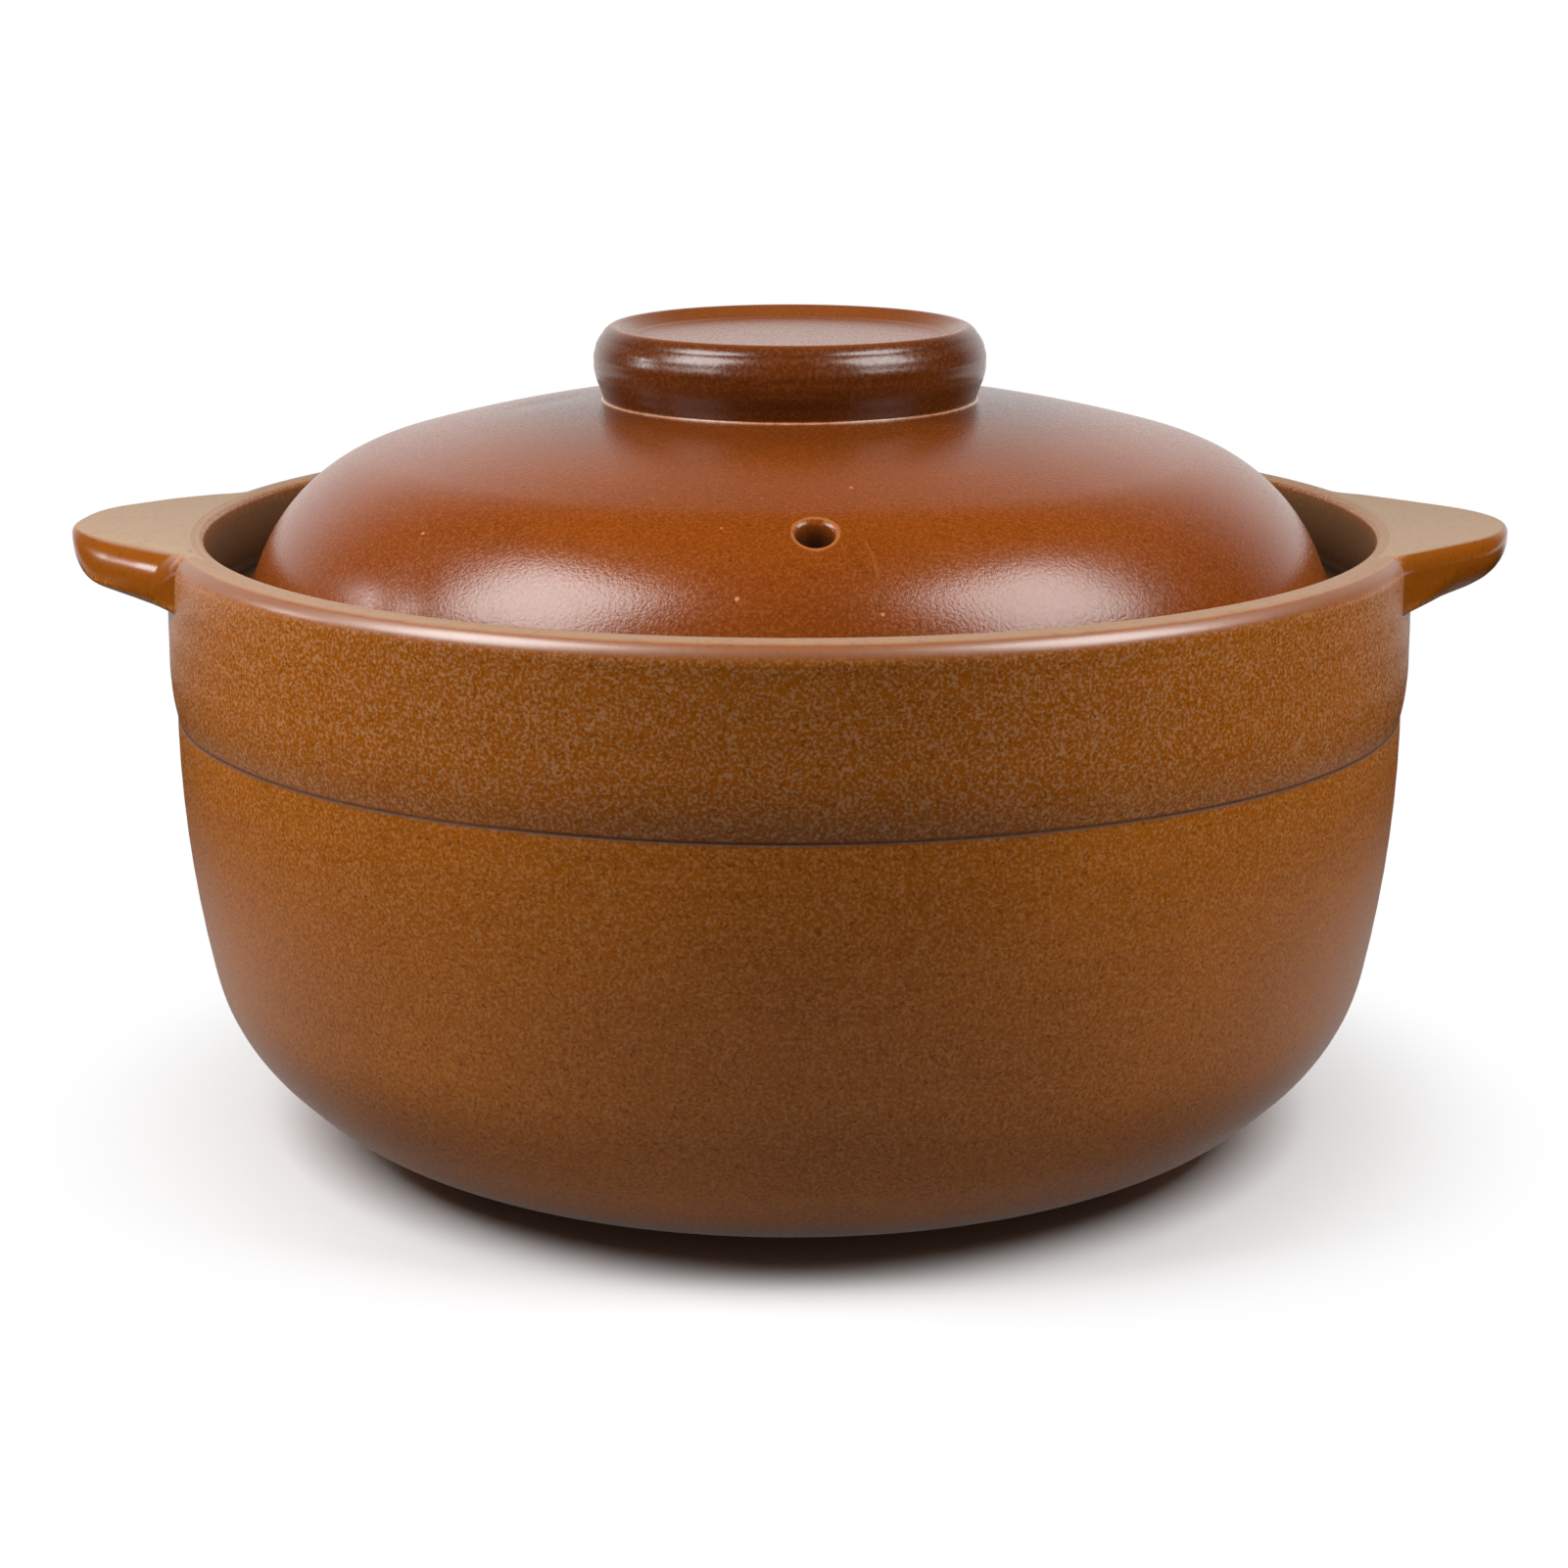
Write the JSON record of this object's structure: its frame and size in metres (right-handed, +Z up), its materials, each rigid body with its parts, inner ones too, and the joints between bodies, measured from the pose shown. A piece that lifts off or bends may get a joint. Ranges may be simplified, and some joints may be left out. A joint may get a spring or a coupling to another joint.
{
  "type": "lidded clay cooking pot",
  "caption": "Round clay cooking pot with an upright collar, wing ears level with its flat lip, and a loose domed lid with a steam vent and a dished knob.",
  "frame": {"origin": "centre of the base, on the plane that the foot ring stands on", "axes": "+Z up through the bowl and the knob; the ears point along +X and -X; the steam vent is at the front, towards -Y"},
  "size_m": [0.2674, 0.23, 0.1509],
  "materials": {
    "pot_glaze": "satin ochre-brown speckled glaze, darker towards the base, bare tan lip",
    "lid_glaze": "glossy red-brown speckled glaze",
    "knob_glaze": "glossy dark red-brown glaze"
  },
  "bodies": {
    "pot": {"pot_bowl": "pot_glaze", "left_ear": "pot_glaze", "right_ear": "pot_glaze"},
    "lid": {"lid_dome": "lid_glaze", "lid_knob": "knob_glaze"}
  },
  "joints": [
    {"name": "lid_lift", "type": "slide", "parent": "pot", "child": "lid", "axis": [0, 0, 1], "range_m": [0, 0.12]}
  ]
}
